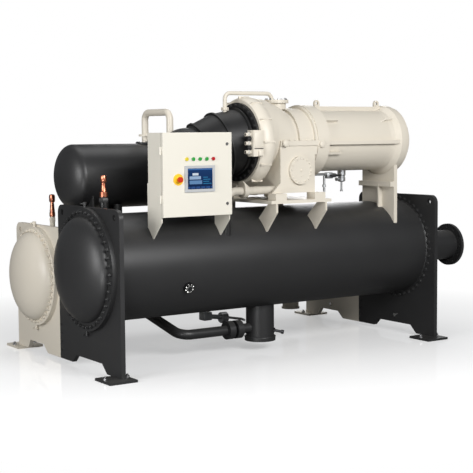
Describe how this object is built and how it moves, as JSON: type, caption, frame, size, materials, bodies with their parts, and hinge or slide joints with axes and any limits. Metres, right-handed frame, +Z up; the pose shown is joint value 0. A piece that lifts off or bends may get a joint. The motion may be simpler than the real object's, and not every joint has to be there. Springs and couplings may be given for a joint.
{
  "type": "water-cooled centrifugal chiller",
  "caption": "Water-cooled centrifugal chiller: two shell-and-tube vessels side by side, compressor and motor on top, control cabinet with a hinged door.",
  "frame": {"origin": "on the floor, under the middle of the bounding box", "axes": "+X along the vessels towards the water connections, +Y from the cabinet side to the condenser side, +Z up"},
  "size_m": [3.897, 2.1, 2.222],
  "materials": {
    "black_paint": "satin",
    "cream_paint": "satin",
    "cabinet_paint": "semi-gloss",
    "screen_glass": "gloss",
    "lamp_lens": "gloss",
    "yellow_plastic": "matt",
    "red_plastic": "gloss",
    "sight_glass_metal": "brushed",
    "copper": "polished"
  },
  "bodies": {
    "chiller": {"evaporator_shell": "black_paint", "evaporator_tube_sheet_left": "black_paint", "evaporator_tube_sheet_right": "black_paint", "evaporator_head": "black_paint", "evaporator_water_head": "black_paint", "evaporator_nozzles": "black_paint", "front_foot_plates": "black_paint", "economizer_shell": "black_paint", "economizer_end_left": "black_paint", "economizer_end_right": "black_paint", "economizer_saddles": "black_paint", "suction_header": "black_paint", "suction_cover": "black_paint", "float_chamber": "black_paint", "liquid_line": "black_paint", "condenser_shell": "cream_paint", "condenser_tube_sheet_left": "cream_paint", "condenser_tube_sheet_right": "cream_paint", "condenser_head": "cream_paint", "condenser_water_head": "cream_paint", "condenser_nozzles": "cream_paint", "volute": "cream_paint", "casing": "cream_paint", "casing_cover": "cream_paint", "top_cover": "cream_paint", "motor_ring": "cream_paint", "motor_barrel": "cream_paint", "motor_cover": "cream_paint", "lifting_eyes": "cream_paint", "compressor_base": "cream_paint", "compressor_struts": "cream_paint", "motor_foot": "cream_paint", "motor_support": "cream_paint", "oil_line": "cream_paint", "condenser_sump": "cream_paint", "rear_foot_plates": "cream_paint", "discharge_pipe": "cream_paint", "economizer_pipe": "cream_paint", "balance_pipe": "cream_paint", "vane_actuator": "cream_paint", "cabinet_body": "cabinet_paint", "body_hinges": "cabinet_paint", "cabinet_brackets": "cabinet_paint", "sight_glass": "sight_glass_metal", "evaporator_relief_valve": "copper", "condenser_relief_valve": "copper"},
    "door": {"cabinet_door": "cabinet_paint", "door_hinges": "cabinet_paint", "door_locks": "sight_glass_metal", "display_screen": "screen_glass", "indicator_lamps": "lamp_lens", "stop_collar": "yellow_plastic"},
    "stop_button": {"stop_button": "red_plastic"}
  },
  "joints": [
    {"name": "cabinet_door_hinge", "type": "hinge", "parent": "chiller", "child": "door", "pos_m": [-1.3645, -0.941, 1.556], "axis": [0, 0, -1], "range_deg": [0, 120]},
    {"name": "stop_button_push", "type": "slide", "parent": "door", "child": "stop_button", "axis": [0, 1, 0], "range_m": [0, 0.005]}
  ]
}
